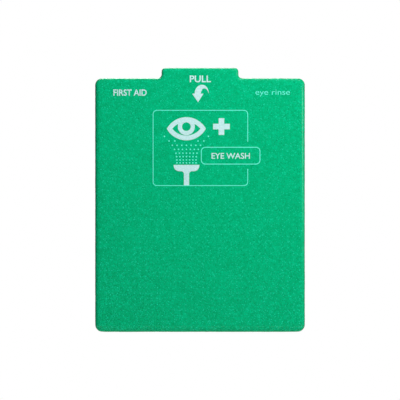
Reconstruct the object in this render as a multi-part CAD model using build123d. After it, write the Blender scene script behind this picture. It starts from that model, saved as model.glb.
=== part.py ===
from build123d import *

import os
from dataclasses import dataclass

# Insulated wall box that keeps two eyewash bottles from freezing.  Millimetres.
# X runs to the right as seen from the room, Y into the wall, Z up.  The origin
# is the centre of the wall plate's bolt pattern, on the wall plane.

# ---- foam shells
FOAM_WALL = 24.0  # side, top and bottom walls
FRONT_WALL = 18.0  # the lid's face
BACK_FOAM = 14.0  # foam between the hanging bracket and the heater
LID_DEPTH = 46.0  # face of the lid to the parting line
WALL_GAP = 1.0  # foam stands off the wall
CORNER_RADIUS = 8.0
FRONT_EDGE_RADIUS = 3.5
BACK_EDGE_RADIUS = 3.0
CAVITY_RADIUS = 12.0
PARTING_CHAMFER = 1.0
TONGUE_THICKNESS = 11.0
TONGUE_LENGTH = 8.0
TONGUE_CLEARANCE = 0.5

# ---- pull tab on top of the lid
TAB_WIDTH = 84.6
TAB_HEIGHT = 11.3
TAB_THICKNESS = 22.0
TAB_CORNER_RADIUS = 4.0
TAB_FOOT_RADIUS = 3.0
TAB_GROOVE_RADIUS = 5.0

# ---- what stands beside and around the bottles
SIDE_MARGIN = 5.0  # cavity wall to the large bottle
BOTTLE_SPACING = 12.0  # between the two bottles
CRADLE_END = 7.0  # foam outside the small bottle
ACCESSORY_BAY = 34.0  # clear width right of the cradles
LID_CLEARANCE = 2.0  # large bottle to the lid's face
HEATER_GAP = 3.0  # bottles to the heat spreader, room for a web of cradle foam
STANDING_GAP = 0.2  # under the bottles
FIT_GAP = 0.5  # around foam inserts
BORE_GAP = 0.1  # around pieces pushed into a bore
SWING_CLEARANCE = 3.2  # over a flip lid at the top of its swing

# ---- cradles
CRADLE_HEIGHT = 24.0
LOWER_CRADLE_LIFT = 12.0  # cavity floor to the lower cradle
UPPER_CRADLE_DROP = 8.0  # small bottle's shoulder to the top of the upper cradle
RIB_WRAP = 3.5  # lid ribs past the small bottle's front
RIB_TO_CRADLE = 4.5  # lid ribs to the cradles
CRADLE_GRIP = 0.6  # radial gap around a bottle
COLLAR_LIFT = 0.6  # eye cup above the bottle's shoulder

# ---- wall plate, hanging studs and keyhole bracket
PLATE_THICKNESS = 2.0
WALL_PLATE_WIDTH = 150.0
WALL_PLATE_HEIGHT = 116.0
WALL_BOLT_X = 62.0
WALL_BOLT_Z = 46.0
WALL_BOLT_RADIUS = 3.25
STUD_X = 38.0
STUD_Z = 34.0
STUD_RADIUS = 4.0
STUD_HEAD_RADIUS = 7.0
STUD_HEAD_THICKNESS = 2.5
STUD_HEAD_CHAMFER = 0.8
STAND_OFF = 5.0  # wall plate to bracket, room for the wall screws' heads
LIFT = 12.0  # how far the box is lifted to unhook
KEYHOLE_CLEARANCE = 0.3
HEAD_CLEARANCE = 0.5
PLATE_CORNER_RADIUS = 6.0
BRACKET_MARGIN = 12.0  # bracket past the wall plate, top and bottom
BRACKET_CORNER_RADIUS = 8.0
CLAMP_INSET_X = 8.0  # clamp screws inside the bracket's sides
CLAMP_INSET_Z = 12.0  # and inside its top and bottom
STUD_POCKET_MARGIN = 1.5  # around the stud heads, in the foam
STUD_POCKET_DEPTH = 3.0  # past the stud heads, in the foam

# ---- fasteners through the back wall
SCREW_RADIUS = 1.95
SCREW_CLEARANCE = 0.15
SCREW_HEAD_RADIUS = 3.8
SCREW_HEAD_HEIGHT = 2.4
SCREW_SOCKET_FLATS = 2.5
SCREW_SOCKET_FLOOR = 0.8  # above the head's underside
SCREW_HEAD_ROUNDING = 1.2
SCREW_END = 0.5  # bracket to the screw's end
WASHER_RADIUS = 5.0
WASHER_THICKNESS = 0.8
SLEEVE_RADIUS = 4.5
NUT_RADIUS = 4.5
NUT_LENGTH = 4.0

# ---- heater
SPREADER_THICKNESS = 1.5
SPREADER_MARGIN = 3.0  # inside the cavity
SPREADER_OVERHANG = 14.0  # above the upper clamp screws
SPREADER_CORNER_RADIUS = 10.0
FOIL_THICKNESS = 0.5
FOIL_GAP = 0.2
FOIL_BORDER = 14.0
FOIL_CORNER_RADIUS = 4.0
FOIL_HOLE_MARGIN = 2.0  # around the lead grommet
THERMOSTAT_RADIUS = 8.0
THERMOSTAT_HEIGHT = 9.0
THERMOSTAT_EAR = 12.0  # centre to each rivet
THERMOSTAT_LIFT = 95.0  # above the cavity floor
THERMOSTAT_ROUNDING = 0.8
EAR_WIDTH = 9.0
RIVET_RADIUS = 1.6
RIVET_HEAD_HEIGHT = 0.9
RIVET_HEAD_ROUNDING = 0.5
TAG_X = 3.5  # terminals either side of the thermostat's centre
TAG_WIDTH = 4.8
TAG_THICKNESS = 0.8
TAG_LENGTH = 7.0
GROMMET_RADIUS = 5.0
GROMMET_LIP = 1.5
GROMMET_LIFT = 32.0  # above the cavity floor
LEAD_RADIUS = 0.9
LEAD_GAP = 0.3  # each lead to the grommet's centre plane
LEAD_STANDOFF = 7.0  # leads in front of the thermostat's terminals

# ---- power inlet in the bottom wall
DUCT_WIDTH = 30.0
DUCT_DEPTH = 24.0
DUCT_WALL = 1.5
FLANGE_MARGIN = 4.0
FLANGE_THICKNESS = 2.0
TUB_DEPTH = 6.0
JACK_RADIUS = 4.0
JACK_LENGTH = 20.0
JACK_FLANGE_RADIUS = 5.5
JACK_FLANGE_THICKNESS = 2.0
JACK_BORE_RADIUS = 2.75
JACK_BORE_END = 8.0  # solid length at the jack's top
JACK_PIN_RADIUS = 1.05
JACK_TAG_X = 2.6  # tags either side of the jack's axis
JACK_TAG_WIDTH = 3.0
JACK_TAG_LENGTH = 5.0
JACK_NUT_FLATS = 10.0
JACK_NUT_HEIGHT = 3.0
LAMP_RADIUS = 4.0
LAMP_FLANGE_RADIUS = 5.0
LAMP_FLANGE_THICKNESS = 1.2
LAMP_LENGTH = 14.0
LENS_RADIUS = 3.0
INLET_PITCH = 15.0  # jack to lamp
INLET_SETBACK = 1.3  # duct in front of the heat spreader
FLANGE_CORNER_RADIUS = 3.0
DUCT_LIP = 2.0  # duct above the cavity's floor

# ---- lid hinges
HINGE_LENGTH = 40.0
PIVOT_HEIGHT = 2.5  # above the underside
HINGE_RELIEF = 7.0  # chamfer both sides of the parting line
LEAF_WIDTH = 17.0
LEAF_THICKNESS = 1.6
LEAF_DROP = 0.6  # leaf's underside below the pivot
LEAF_EDGE_GAP = 0.4  # knuckle to the leaf's edge
KNUCKLE_RADIUS = 2.5
PIN_RADIUS = 1.2
PIN_CLEARANCE = 0.05
KNUCKLE_GAP = 0.3
PEG_RADIUS = 2.2
BARB_RADIUS = 3.0
PEG_LENGTH = 14.0
BARB_LENGTH = 3.0
PEG_SPACING = 24.0
PEG_OFFSET = 13.0
HINGE_TO_INLET = 4.0


@dataclass
class Bottle:
    """An eyewash bottle, its eye cup and its flip lid."""

    name: str
    radius: float
    body: float
    shoulder: float
    neck_radius: float
    collar: float
    cup_radius: float
    bowl: float
    x: float = 0.0

    wall = 0.8
    base_rounding = 6.0
    shoulder_rounding = 9.0
    neck_rounding = 2.0
    collar_wall = 4.5
    thread_gap = 0.3
    cup_wall = 1.5
    lid_thickness = 1.6
    lid_overhang = 1.0
    hinge_offset = 3.0  # cup rim to the flip lid's hinge axis
    hinge_drop = 0.4  # cup rim down to the flip lid's hinge axis
    nib = 1.0  # thumb nib on the flip lid
    nib_half_width = 5.0
    mouth_drop = 3.0  # collar's top down to the bottle's mouth
    saline_gap = 0.05
    throat_share = 0.42  # of the cup's radius
    throat_wall = 2.0  # either side of the collar's top
    grips = 24
    grip_radius = 0.8
    lug_inner = 3.3  # the cup's two hinge lugs, from its middle plane
    lug_outer = 6.5
    lug_depth = 5.0
    arm_half_width = 3.0  # the flip lid's arm between the lugs
    knuckle_radius = 1.8
    pin_radius = 0.8
    spray_hole_radius = 0.8
    spray_holes = 6  # around the one in the middle
    insert_thickness = 3.0
    plug_depth = 2.0  # the flip lid's plug into the cup
    plug_wall = 1.2
    plug_gap = 0.6
    seat_gap = 0.1  # flip lid above the cup's rim

    @property
    def y(self):
        return SPREADER_FRONT - HEATER_GAP - self.radius

    @property
    def collar_radius(self):
        return self.neck_radius + self.collar_wall

    @property
    def rim(self):
        """Height of the eye cup's rim above the bottle's foot."""
        return self.body + self.shoulder + self.collar + self.bowl

    @property
    def cup_height(self):
        """The eye cup's own height, from the underside of its collar to its rim."""
        return self.collar + self.bowl - COLLAR_LIFT

    @property
    def lid_radius(self):
        return self.cup_radius + self.lid_overhang

    @property
    def ear(self):
        """The cup's axis to the flip lid's hinge axis."""
        return self.cup_radius + self.hinge_offset

    @property
    def swing_radius(self):
        """Hinge axis to the tip of the flip lid's nib."""
        return self.ear + self.lid_radius + self.nib


LARGE = Bottle("large", 36.0, 120.0, 18.0, 14.0, 14.0, 23.0, 24.0)
SMALL = Bottle("small", 26.0, 97.0, 12.0, 11.0, 12.0, 19.5, 20.0)

# ---- planes and overall sizes that follow from the contents
BRACKET_BACK = -(PLATE_THICKNESS + STAND_OFF)
BRACKET_FRONT = BRACKET_BACK - PLATE_THICKNESS
CAVITY_BACK = BRACKET_FRONT - BACK_FOAM
SPREADER_BACK = CAVITY_BACK - FOIL_GAP - FOIL_THICKNESS
SPREADER_FRONT = SPREADER_BACK - SPREADER_THICKNESS
LID_FLOOR = SPREADER_FRONT - HEATER_GAP - 2 * LARGE.radius - LID_CLEARANCE
FRONT = LID_FLOOR - FRONT_WALL
PARTING = FRONT + LID_DEPTH

CRADLE_WIDTH = SIDE_MARGIN + 2 * LARGE.radius + BOTTLE_SPACING + 2 * SMALL.radius + CRADLE_END
CAVITY_WIDTH = CRADLE_WIDTH + ACCESSORY_BAY
LARGE_HINGE = STANDING_GAP + LARGE.rim - LARGE.hinge_drop
CAVITY_HEIGHT = LARGE_HINGE + LARGE.swing_radius + SWING_CLEARANCE
BOX_WIDTH = CAVITY_WIDTH + 2 * FOAM_WALL
BOX_HEIGHT = CAVITY_HEIGHT + 2 * FOAM_WALL

BOTTOM = -BOX_HEIGHT / 2
TOP = BOX_HEIGHT / 2
CAVITY_RIGHT = CAVITY_WIDTH / 2
CAVITY_LEFT = -CAVITY_RIGHT
CAVITY_FLOOR = BOTTOM + FOAM_WALL
CRADLE_RIGHT = CAVITY_LEFT + CRADLE_WIDTH
BAY_CENTRE = (CRADLE_RIGHT + CAVITY_RIGHT) / 2

LARGE.x = CAVITY_LEFT + SIDE_MARGIN + LARGE.radius
SMALL.x = LARGE.x + LARGE.radius + BOTTLE_SPACING + SMALL.radius
FOOT = CAVITY_FLOOR + STANDING_GAP

LOWER_CRADLE = CAVITY_FLOOR + LOWER_CRADLE_LIFT
UPPER_CRADLE = FOOT + SMALL.body - UPPER_CRADLE_DROP - CRADLE_HEIGHT
RIB_END = SMALL.y - SMALL.radius + RIB_WRAP
CRADLE_FRONT = RIB_END + RIB_TO_CRADLE

BRACKET_HEIGHT = WALL_PLATE_HEIGHT + 2 * BRACKET_MARGIN
BRACKET_WIDTH = CAVITY_WIDTH - 2 * SPREADER_MARGIN
CLAMP_X = BRACKET_WIDTH / 2 - CLAMP_INSET_X
CLAMP_Z = BRACKET_HEIGHT / 2 - CLAMP_INSET_Z
SPREADER_BOTTOM = CAVITY_FLOOR + SPREADER_MARGIN
SPREADER_TOP = CLAMP_Z + SPREADER_OVERHANG
CORNERS = [(side, level) for side in (-1, 1) for level in (-1, 1)]
CLAMP_POINTS = [(side * CLAMP_X, level * CLAMP_Z) for side, level in CORNERS]
STUD_POINTS = [(side * STUD_X, level * STUD_Z) for side, level in CORNERS]

INLET_Y = SPREADER_FRONT - INLET_SETBACK - DUCT_DEPTH / 2
JACK_X = BAY_CENTRE - INLET_PITCH / 2
LAMP_X = BAY_CENTRE + INLET_PITCH / 2
TUB_FLOOR = BOTTOM + TUB_DEPTH
PIVOT_Z = BOTTOM + PIVOT_HEIGHT
LEAF_BOTTOM = PIVOT_Z - LEAF_DROP
HINGE_X = BAY_CENTRE - DUCT_WIDTH / 2 - FLANGE_MARGIN - HINGE_TO_INLET - HINGE_LENGTH / 2
THERMOSTAT_Z = CAVITY_FLOOR + THERMOSTAT_LIFT
THERMOSTAT_BACK = SPREADER_FRONT - TAG_THICKNESS
THERMOSTAT_FRONT = THERMOSTAT_BACK - THERMOSTAT_HEIGHT
TAG_FRONT = THERMOSTAT_FRONT - TAG_LENGTH
LEAD_Y = TAG_FRONT - LEAD_STANDOFF
GROMMET_Z = CAVITY_FLOOR + GROMMET_LIFT
JACK_TOP = TUB_FLOOR + JACK_LENGTH
BORE_TOP = JACK_TOP - JACK_BORE_END
TAG_END = JACK_TOP + JACK_TAG_LENGTH
LAMP_TOP = TUB_FLOOR + LAMP_LENGTH


# ---- shapes used throughout

def slab(sketch, wall_side, room_side):
    """An XZ outline made solid between two Y planes."""
    return extrude(Plane.XZ.offset(-wall_side) * sketch, wall_side - room_side)


def rounded_rectangle(left, right, low, high, radius):
    outline = RectangleRounded(right - left, high - low, radius)
    return Pos((left + right) / 2, (low + high) / 2) * outline


def block(left, right, room_side, wall_side, low, high):
    size = (right - left, wall_side - room_side, high - low)
    centre = ((left + right) / 2, (wall_side + room_side) / 2, (low + high) / 2)
    return Pos(*centre) * Box(*size)


def post(radius, x, y, low, high):
    """A cylinder along Z."""
    return Pos(x, y, (low + high) / 2) * Cylinder(radius, high - low)


def peg(radius, x, z, wall_side, room_side):
    """A cylinder along Y."""
    cylinder = Rot(90, 0, 0) * Cylinder(radius, wall_side - room_side)
    return Pos(x, (wall_side + room_side) / 2, z) * cylinder


def bar(radius, y, z, left, right):
    """A cylinder along X."""
    return Pos((left + right) / 2, y, z) * Rot(0, 90, 0) * Cylinder(radius, right - left)


def turned(corners):
    """A body of revolution about Z from (radius, height, rounding) corners."""
    face = make_face(Polyline([(r, z) for r, z, _ in corners], close=True))
    for r, z, rounding in corners:
        if rounding:
            vertex = face.vertices().sort_by_distance((r, z, 0))[0]
            face = fillet(vertex, rounding)
    return revolve(Plane.XZ * face, axis=Axis.Z)


def hexagon_bar(flats, x, y, low, high):
    """A hexagonal bar along Z."""
    outline = RegularPolygon(flats / 2, 6, major_radius=False)
    return extrude(Plane((x, y, low)) * outline, high - low)


def cavity_outline(growth=0.0):
    width, height = CAVITY_WIDTH + 2 * growth, CAVITY_HEIGHT + 2 * growth
    return RectangleRounded(width, height, CAVITY_RADIUS + growth)


# ---- wall side

def wall_plate():
    outline = RectangleRounded(WALL_PLATE_WIDTH, WALL_PLATE_HEIGHT, PLATE_CORNER_RADIUS)
    for side, level in CORNERS:
        outline -= Pos(side * WALL_BOLT_X, level * WALL_BOLT_Z) * Circle(WALL_BOLT_RADIUS)
    return slab(outline, 0, -PLATE_THICKNESS)


def hanging_stud(x, z):
    head_back = BRACKET_FRONT - HEAD_CLEARANCE
    stud = peg(STUD_RADIUS, x, z, -PLATE_THICKNESS, head_back)
    head = peg(STUD_HEAD_RADIUS, x, z, head_back, head_back - STUD_HEAD_THICKNESS)
    return stud + chamfer(head.edges().sort_by(Axis.Y)[0], STUD_HEAD_CHAMFER)


def keyhole_outline(x, z, slot_radius, hole_radius):
    """A slot whose top sits on the stud, with the entry hole one lift below."""
    slot = Pos(x, z) * Circle(slot_radius) + Pos(x, z - LIFT / 2) * Rectangle(2 * slot_radius, LIFT)
    return slot + Pos(x, z - LIFT) * Circle(hole_radius)


def case_bracket():
    outline = RectangleRounded(BRACKET_WIDTH, BRACKET_HEIGHT, BRACKET_CORNER_RADIUS)
    slot, entry = STUD_RADIUS + KEYHOLE_CLEARANCE, STUD_HEAD_RADIUS + HEAD_CLEARANCE
    for x, z in STUD_POINTS:
        outline -= keyhole_outline(x, z, slot, entry)
    for x, z in CLAMP_POINTS:
        outline -= Pos(x, z) * Circle(SCREW_RADIUS + 2 * SCREW_CLEARANCE)
    return slab(outline, BRACKET_BACK, BRACKET_FRONT)


# ---- foam shells

def hinge_relief():
    """The triangular groove along the parting line's underside that lets the lid swing."""
    groove = make_face(
        Polyline(
            [(PARTING - HINGE_RELIEF - 1, BOTTOM - 1), (PARTING + HINGE_RELIEF + 1, BOTTOM - 1),
             (PARTING, BOTTOM + HINGE_RELIEF)],
            close=True,
        )
    )
    return extrude(Plane.YZ * groove, BOX_WIDTH, both=True)


def hinge_pocket(centre, direction):
    """Room in the foam for one leaf and its two pegs; direction is +1 in the case, -1 in the lid."""
    reach = PARTING + direction * (LEAF_WIDTH + FIT_GAP)
    low, high = sorted((PARTING - direction * KNUCKLE_RADIUS, reach))
    top = LEAF_BOTTOM + LEAF_THICKNESS
    half = HINGE_LENGTH / 2 + FIT_GAP
    pocket = block(centre - half, centre + half, low, high, BOTTOM - 1, top + BORE_GAP)
    pocket += bar(KNUCKLE_RADIUS + FIT_GAP, PARTING, PIVOT_Z, centre - half, centre + half)
    for offset in (-PEG_SPACING / 2, PEG_SPACING / 2):
        y = PARTING + direction * PEG_OFFSET
        pocket += post(BARB_RADIUS + BORE_GAP, centre + offset, y, top, top + PEG_LENGTH + 1)
    return pocket


def back_shell():
    shell = slab(RectangleRounded(BOX_WIDTH, BOX_HEIGHT, CORNER_RADIUS), -WALL_GAP, PARTING)
    shell = fillet(shell.faces().sort_by(Axis.Y)[-1].edges(), BACK_EDGE_RADIUS)
    shell = chamfer(shell.faces().sort_by(Axis.Y)[0].edges(), PARTING_CHAMFER)
    shell += slab(cavity_outline(TONGUE_THICKNESS), PARTING + 1, PARTING - TONGUE_LENGTH)
    shell -= slab(cavity_outline(), CAVITY_BACK, PARTING - TONGUE_LENGTH)
    recess = rounded_rectangle(
        -BRACKET_WIDTH / 2 - FIT_GAP, BRACKET_WIDTH / 2 + FIT_GAP,
        -BRACKET_HEIGHT / 2 - LIFT / 2, BRACKET_HEIGHT / 2 + FIT_GAP, BRACKET_CORNER_RADIUS + FIT_GAP,
    )
    shell -= slab(recess, 0, BRACKET_FRONT)
    head_room = STUD_HEAD_RADIUS + STUD_POCKET_MARGIN
    pocket_floor = BRACKET_FRONT - HEAD_CLEARANCE - STUD_HEAD_THICKNESS - STUD_POCKET_DEPTH
    for x, z in STUD_POINTS:
        shell -= slab(keyhole_outline(x, z, head_room, head_room), BRACKET_FRONT, pocket_floor)
    for x, z in CLAMP_POINTS:
        shell -= peg(SLEEVE_RADIUS + 2 * BORE_GAP, x, z, BRACKET_FRONT, CAVITY_BACK)
        shell -= peg(NUT_RADIUS + FIT_GAP, x, z, BRACKET_FRONT, BRACKET_FRONT - NUT_LENGTH)
    shell -= inlet_block(FIT_GAP / 2, BOTTOM - 1, CAVITY_FLOOR + CAVITY_RADIUS)
    shell -= inlet_block(FLANGE_MARGIN + FIT_GAP / 2, BOTTOM - 1, BOTTOM + FLANGE_THICKNESS + BORE_GAP)
    shell -= hinge_relief()
    for side in (-1, 1):
        shell -= hinge_pocket(side * HINGE_X, 1)
    return shell


def lid_outline():
    body = RectangleRounded(BOX_WIDTH, BOX_HEIGHT, CORNER_RADIUS)
    half, root = TAB_WIDTH / 2, TOP - 2 * TAB_CORNER_RADIUS
    tab = rounded_rectangle(-half, half, root, TOP + TAB_HEIGHT, TAB_CORNER_RADIUS)
    both = body + tab
    feet = [v for v in both.vertices() if abs(v.Y - TOP) < 0.01 and abs(abs(v.X) - half) < 0.01]
    return fillet(feet, TAB_FOOT_RADIUS)


def lid_rib(low):
    """A rib across the lid's floor, cut to hold both bottles against their cradles."""
    rib = block(CAVITY_LEFT, CRADLE_RIGHT, LID_FLOOR - 1, RIB_END, low, low + CRADLE_HEIGHT)
    for bottle in (LARGE, SMALL):
        rib -= post(bottle.radius + CRADLE_GRIP, bottle.x, bottle.y, low - 1, low + CRADLE_HEIGHT + 1)
    return rib


def front_lid():
    lid = slab(RectangleRounded(BOX_WIDTH, BOX_HEIGHT, CORNER_RADIUS), PARTING, FRONT)
    lid = chamfer(lid.faces().sort_by(Axis.Y)[-1].edges(), PARTING_CHAMFER)
    lid += slab(lid_outline(), FRONT + TAB_THICKNESS, FRONT)
    lid = fillet(lid.faces().sort_by(Axis.Y)[0].edges(), FRONT_EDGE_RADIUS)
    groove_y, groove_z = FRONT + TAB_THICKNESS + 1, TOP + TAB_GROOVE_RADIUS
    lid -= bar(TAB_GROOVE_RADIUS, groove_y, groove_z, -TAB_WIDTH, TAB_WIDTH)
    lid -= slab(cavity_outline(), PARTING, LID_FLOOR)
    rebate = cavity_outline(TONGUE_THICKNESS + TONGUE_CLEARANCE)
    lid -= slab(rebate, PARTING, PARTING - TONGUE_LENGTH - TONGUE_CLEARANCE)
    for low in (LOWER_CRADLE, UPPER_CRADLE):
        lid += lid_rib(low)
    lid -= hinge_relief()
    for side in (-1, 1):
        lid -= hinge_pocket(side * HINGE_X, -1)
    return lid


def cradle(low):
    """A foam saddle for both bottles, open to the front."""
    front, back = CRADLE_FRONT, SPREADER_FRONT - FIT_GAP
    saddle = block(CAVITY_LEFT + FIT_GAP, CRADLE_RIGHT - FIT_GAP, front, back, low, low + CRADLE_HEIGHT)
    for bottle in (LARGE, SMALL):
        r = bottle.radius + CRADLE_GRIP
        saddle -= post(r, bottle.x, bottle.y, low - 1, low + CRADLE_HEIGHT + 1)
        saddle -= block(bottle.x - r, bottle.x + r, front - 1, bottle.y, low - 1, low + CRADLE_HEIGHT + 1)
    head_front = SPREADER_FRONT - WASHER_THICKNESS - SCREW_HEAD_HEIGHT
    for x, z in CLAMP_POINTS:
        saddle -= peg(WASHER_RADIUS + FIT_GAP, x, z, SPREADER_FRONT, head_front - FIT_GAP)
    return saddle


# ---- heater and its fasteners

def heat_spreader():
    half = CAVITY_RIGHT - SPREADER_MARGIN
    outline = rounded_rectangle(-half, half, SPREADER_BOTTOM, SPREADER_TOP, SPREADER_CORNER_RADIUS)
    for x, z in CLAMP_POINTS:
        outline -= Pos(x, z) * Circle(SCREW_RADIUS + SCREW_CLEARANCE)
    for ear in (-1, 1):
        outline -= Pos(BAY_CENTRE, THERMOSTAT_Z + ear * THERMOSTAT_EAR) * Circle(RIVET_RADIUS)
    outline -= Pos(BAY_CENTRE, GROMMET_Z) * Circle(GROMMET_RADIUS)
    return slab(outline, SPREADER_BACK, SPREADER_FRONT)


def heating_foil():
    half = CLAMP_X - FOIL_BORDER / 2
    low, high = SPREADER_BOTTOM + FOIL_BORDER, SPREADER_TOP - FOIL_BORDER
    outline = rounded_rectangle(-half, half, low, high, FOIL_CORNER_RADIUS)
    for ear in (-1, 1):
        outline -= Pos(BAY_CENTRE, THERMOSTAT_Z + ear * THERMOSTAT_EAR) * Circle(3 * RIVET_RADIUS)
    outline -= Pos(BAY_CENTRE, GROMMET_Z) * Circle(GROMMET_RADIUS + FOIL_HOLE_MARGIN)
    return slab(outline, SPREADER_BACK + FOIL_THICKNESS, SPREADER_BACK)


def clamp_screw(x, z):
    head_back = SPREADER_FRONT - WASHER_THICKNESS
    head_front = head_back - SCREW_HEAD_HEIGHT
    head = peg(SCREW_HEAD_RADIUS, x, z, head_back, head_front)
    head = fillet(head.edges().sort_by(Axis.Y)[0], SCREW_HEAD_ROUNDING)
    shank = peg(SCREW_RADIUS, x, z, BRACKET_FRONT - SCREW_END, head_back)
    socket = RegularPolygon(SCREW_SOCKET_FLATS / 2, 6, major_radius=False)
    return head + shank - slab(Pos(x, z) * socket, head_back - SCREW_SOCKET_FLOOR, head_front - 1)


def ring(x, z, outer, inner, wall_side, room_side):
    return peg(outer, x, z, wall_side, room_side) - peg(inner, x, z, wall_side + 1, room_side - 1)


def clamp_washer(x, z):
    bore = SCREW_RADIUS + SCREW_CLEARANCE
    return ring(x, z, WASHER_RADIUS, bore, SPREADER_FRONT, SPREADER_FRONT - WASHER_THICKNESS)


def spacer_sleeve(x, z):
    bore = SCREW_RADIUS + 2 * SCREW_CLEARANCE
    return ring(x, z, SLEEVE_RADIUS, bore, BRACKET_FRONT - NUT_LENGTH, SPREADER_BACK)


def clinch_nut(x, z):
    bore = SCREW_RADIUS + SCREW_CLEARANCE
    return ring(x, z, NUT_RADIUS, bore, BRACKET_FRONT, BRACKET_FRONT - NUT_LENGTH)


def thermostat_flange():
    length = 2 * THERMOSTAT_EAR + EAR_WIDTH
    outline = Pos(BAY_CENTRE, THERMOSTAT_Z) * SlotOverall(length, EAR_WIDTH, rotation=90)
    outline += Pos(BAY_CENTRE, THERMOSTAT_Z) * Circle(THERMOSTAT_RADIUS + 1)
    for ear in (-1, 1):
        outline -= Pos(BAY_CENTRE, THERMOSTAT_Z + ear * THERMOSTAT_EAR) * Circle(RIVET_RADIUS)
    return slab(outline, SPREADER_FRONT, THERMOSTAT_BACK)


def thermostat():
    body = peg(THERMOSTAT_RADIUS, BAY_CENTRE, THERMOSTAT_Z, THERMOSTAT_BACK, THERMOSTAT_FRONT)
    return fillet(body.edges().sort_by(Axis.Y)[0], THERMOSTAT_ROUNDING)


def thermostat_tag(side):
    x = BAY_CENTRE + side * TAG_X
    left, right = x - TAG_THICKNESS / 2, x + TAG_THICKNESS / 2
    low, high = THERMOSTAT_Z - TAG_WIDTH / 2, THERMOSTAT_Z + TAG_WIDTH / 2
    return block(left, right, TAG_FRONT, THERMOSTAT_FRONT, low, high)


def thermostat_rivet(ear):
    z = THERMOSTAT_Z + ear * THERMOSTAT_EAR
    shank = peg(RIVET_RADIUS, BAY_CENTRE, z, SPREADER_BACK, THERMOSTAT_BACK)
    head = peg(2 * RIVET_RADIUS, BAY_CENTRE, z, THERMOSTAT_BACK, THERMOSTAT_BACK - RIVET_HEAD_HEIGHT)
    return shank + fillet(head.edges().sort_by(Axis.Y)[0], RIVET_HEAD_ROUNDING)


def lead_grommet():
    inner = 2 * LEAD_RADIUS + FIT_GAP
    x, z = BAY_CENTRE, GROMMET_Z
    body = ring(x, z, GROMMET_RADIUS, inner, SPREADER_BACK, SPREADER_FRONT)
    return body + ring(x, z, GROMMET_RADIUS + GROMMET_LIP, inner, SPREADER_FRONT, SPREADER_FRONT - GROMMET_LIP)


# ---- power inlet

def inlet_block(growth, low, high):
    half_x, half_y = DUCT_WIDTH / 2 + growth, DUCT_DEPTH / 2 + growth
    return block(BAY_CENTRE - half_x, BAY_CENTRE + half_x, INLET_Y - half_y, INLET_Y + half_y, low, high)


def inlet_panel():
    panel = inlet_block(FLANGE_MARGIN, BOTTOM, BOTTOM + FLANGE_THICKNESS)
    panel = fillet(panel.edges().filter_by(Axis.Z), FLANGE_CORNER_RADIUS)
    panel += inlet_block(0, BOTTOM, CAVITY_FLOOR + DUCT_LIP)
    panel -= inlet_block(-DUCT_WALL, BOTTOM - 1, TUB_FLOOR)
    panel -= inlet_block(-DUCT_WALL, TUB_FLOOR + DUCT_WALL, CAVITY_FLOOR + DUCT_LIP + 1)
    panel -= post(JACK_RADIUS + BORE_GAP, JACK_X, INLET_Y, TUB_FLOOR - 1, TUB_FLOOR + DUCT_WALL + 1)
    panel -= post(LAMP_RADIUS + BORE_GAP, LAMP_X, INLET_Y, TUB_FLOOR - 1, TUB_FLOOR + DUCT_WALL + 1)
    return panel


def power_jack():
    jack = post(JACK_RADIUS, JACK_X, INLET_Y, TUB_FLOOR, JACK_TOP)
    flange_low = TUB_FLOOR - JACK_FLANGE_THICKNESS
    jack += post(JACK_FLANGE_RADIUS, JACK_X, INLET_Y, flange_low, TUB_FLOOR)
    return jack - post(JACK_BORE_RADIUS, JACK_X, INLET_Y, flange_low - 1, BORE_TOP)


def jack_contacts():
    pin = post(JACK_PIN_RADIUS, JACK_X, INLET_Y, TUB_FLOOR, BORE_TOP)
    across, along = TAG_THICKNESS / 2, JACK_TAG_WIDTH / 2
    tags = []
    for side in (-1, 1):
        x = JACK_X + side * JACK_TAG_X
        tags.append(block(x - across, x + across, INLET_Y - along, INLET_Y + along, JACK_TOP, TAG_END))
    return Compound([pin, *tags])


def jack_nut():
    low = TUB_FLOOR + DUCT_WALL
    high = low + JACK_NUT_HEIGHT
    nut = hexagon_bar(JACK_NUT_FLATS, JACK_X, INLET_Y, low, high)
    return nut - post(JACK_RADIUS + BORE_GAP / 2, JACK_X, INLET_Y, low - 1, high + 1)


def indicator_lamp():
    lamp = post(LAMP_RADIUS, LAMP_X, INLET_Y, TUB_FLOOR, LAMP_TOP)
    return lamp + post(LAMP_FLANGE_RADIUS, LAMP_X, INLET_Y, TUB_FLOOR - LAMP_FLANGE_THICKNESS, TUB_FLOOR)


def indicator_lens():
    seat = TUB_FLOOR - LAMP_FLANGE_THICKNESS
    dome = Pos(LAMP_X, INLET_Y, seat) * Sphere(LENS_RADIUS)
    return dome & post(LENS_RADIUS + 1, LAMP_X, INLET_Y, seat - LENS_RADIUS - 1, seat)


# ---- internal leads: straight runs joined by tangent arcs

def lead(points, radii, radius=LEAD_RADIUS):
    path = FilletPolyline(*points, radius=radii)
    return sweep(Plane(path @ 0, z_dir=path % 0) * Circle(radius), path)


def lead_jack_to_thermostat():
    x, tag = JACK_X - JACK_TAG_X, BAY_CENTRE - TAG_X
    return lead(
        [(x, INLET_Y, TAG_END), (x, INLET_Y, TAG_END + 12), (tag - 2, LEAD_Y, THERMOSTAT_Z - 30),
         (tag, LEAD_Y, THERMOSTAT_Z), (tag, TAG_FRONT, THERMOSTAT_Z)],
        [10, 20, 5],
    )


def lead_thermostat_to_heater():
    tag, hole = BAY_CENTRE + TAG_X, BAY_CENTRE + LEAD_RADIUS + LEAD_GAP
    return lead(
        [(tag, TAG_FRONT, THERMOSTAT_Z), (tag, LEAD_Y, THERMOSTAT_Z),
         (tag + 2, LEAD_Y, THERMOSTAT_Z - 26), (hole, SPREADER_FRONT - 9, GROMMET_Z),
         (hole, SPREADER_BACK, GROMMET_Z)],
        [5, 14, 6],
    )


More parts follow.
